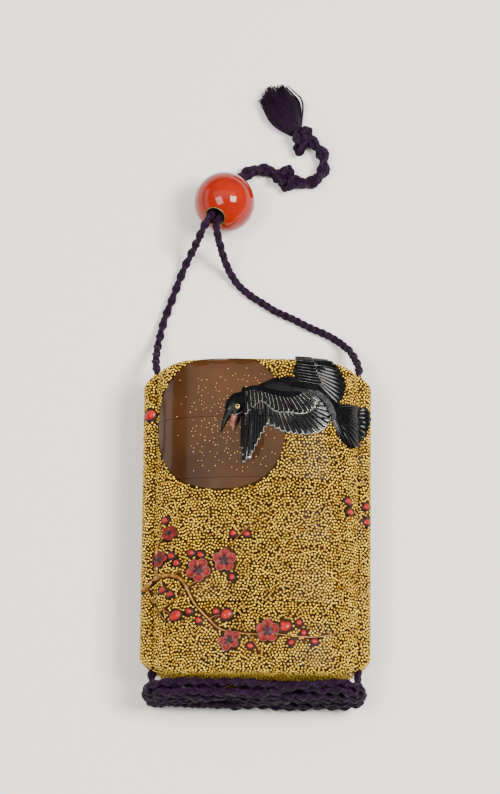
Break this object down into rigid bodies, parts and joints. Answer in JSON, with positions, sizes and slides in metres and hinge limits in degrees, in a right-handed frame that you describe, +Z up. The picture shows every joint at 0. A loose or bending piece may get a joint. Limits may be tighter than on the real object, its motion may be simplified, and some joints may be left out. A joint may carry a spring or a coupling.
{
  "type": "inro case",
  "caption": "Stacked lacquer inro case with a lid, cord runners down its sides, low relief of a bird and plum branch, a sliding bead on a silk cord, knots and a tassel.",
  "frame": {"origin": "on the surface that the inro lies on, under the middle of the lid and cases", "axes": "+X across the inro to the right as seen from the front, +Y from the bottom end to the lid, +Z up, out of the decorated front"},
  "size_m": [0.0639, 0.1865, 0.0267],
  "materials": {
    "gold_sprinkled_lacquer": "lacquered, gold dots on near-black brown",
    "coral": "polished",
    "plum_silk": "braided"
  },
  "bodies": {
    "root": {"lid": "gold_sprinkled_lacquer", "upper_case": "gold_sprinkled_lacquer", "second_case": "gold_sprinkled_lacquer", "third_case": "gold_sprinkled_lacquer", "bottom_case": "gold_sprinkled_lacquer", "bead": "coral", "left_cord": "plum_silk", "right_cord": "plum_silk", "tail_cord": "plum_silk", "tail_end_cord": "plum_silk", "left_drop": "plum_silk", "right_drop": "plum_silk", "tail_knot": "plum_silk", "tassel_knot": "plum_silk", "tassel": "plum_silk", "cord_bundle": "plum_silk"}
  },
  "joints": []
}
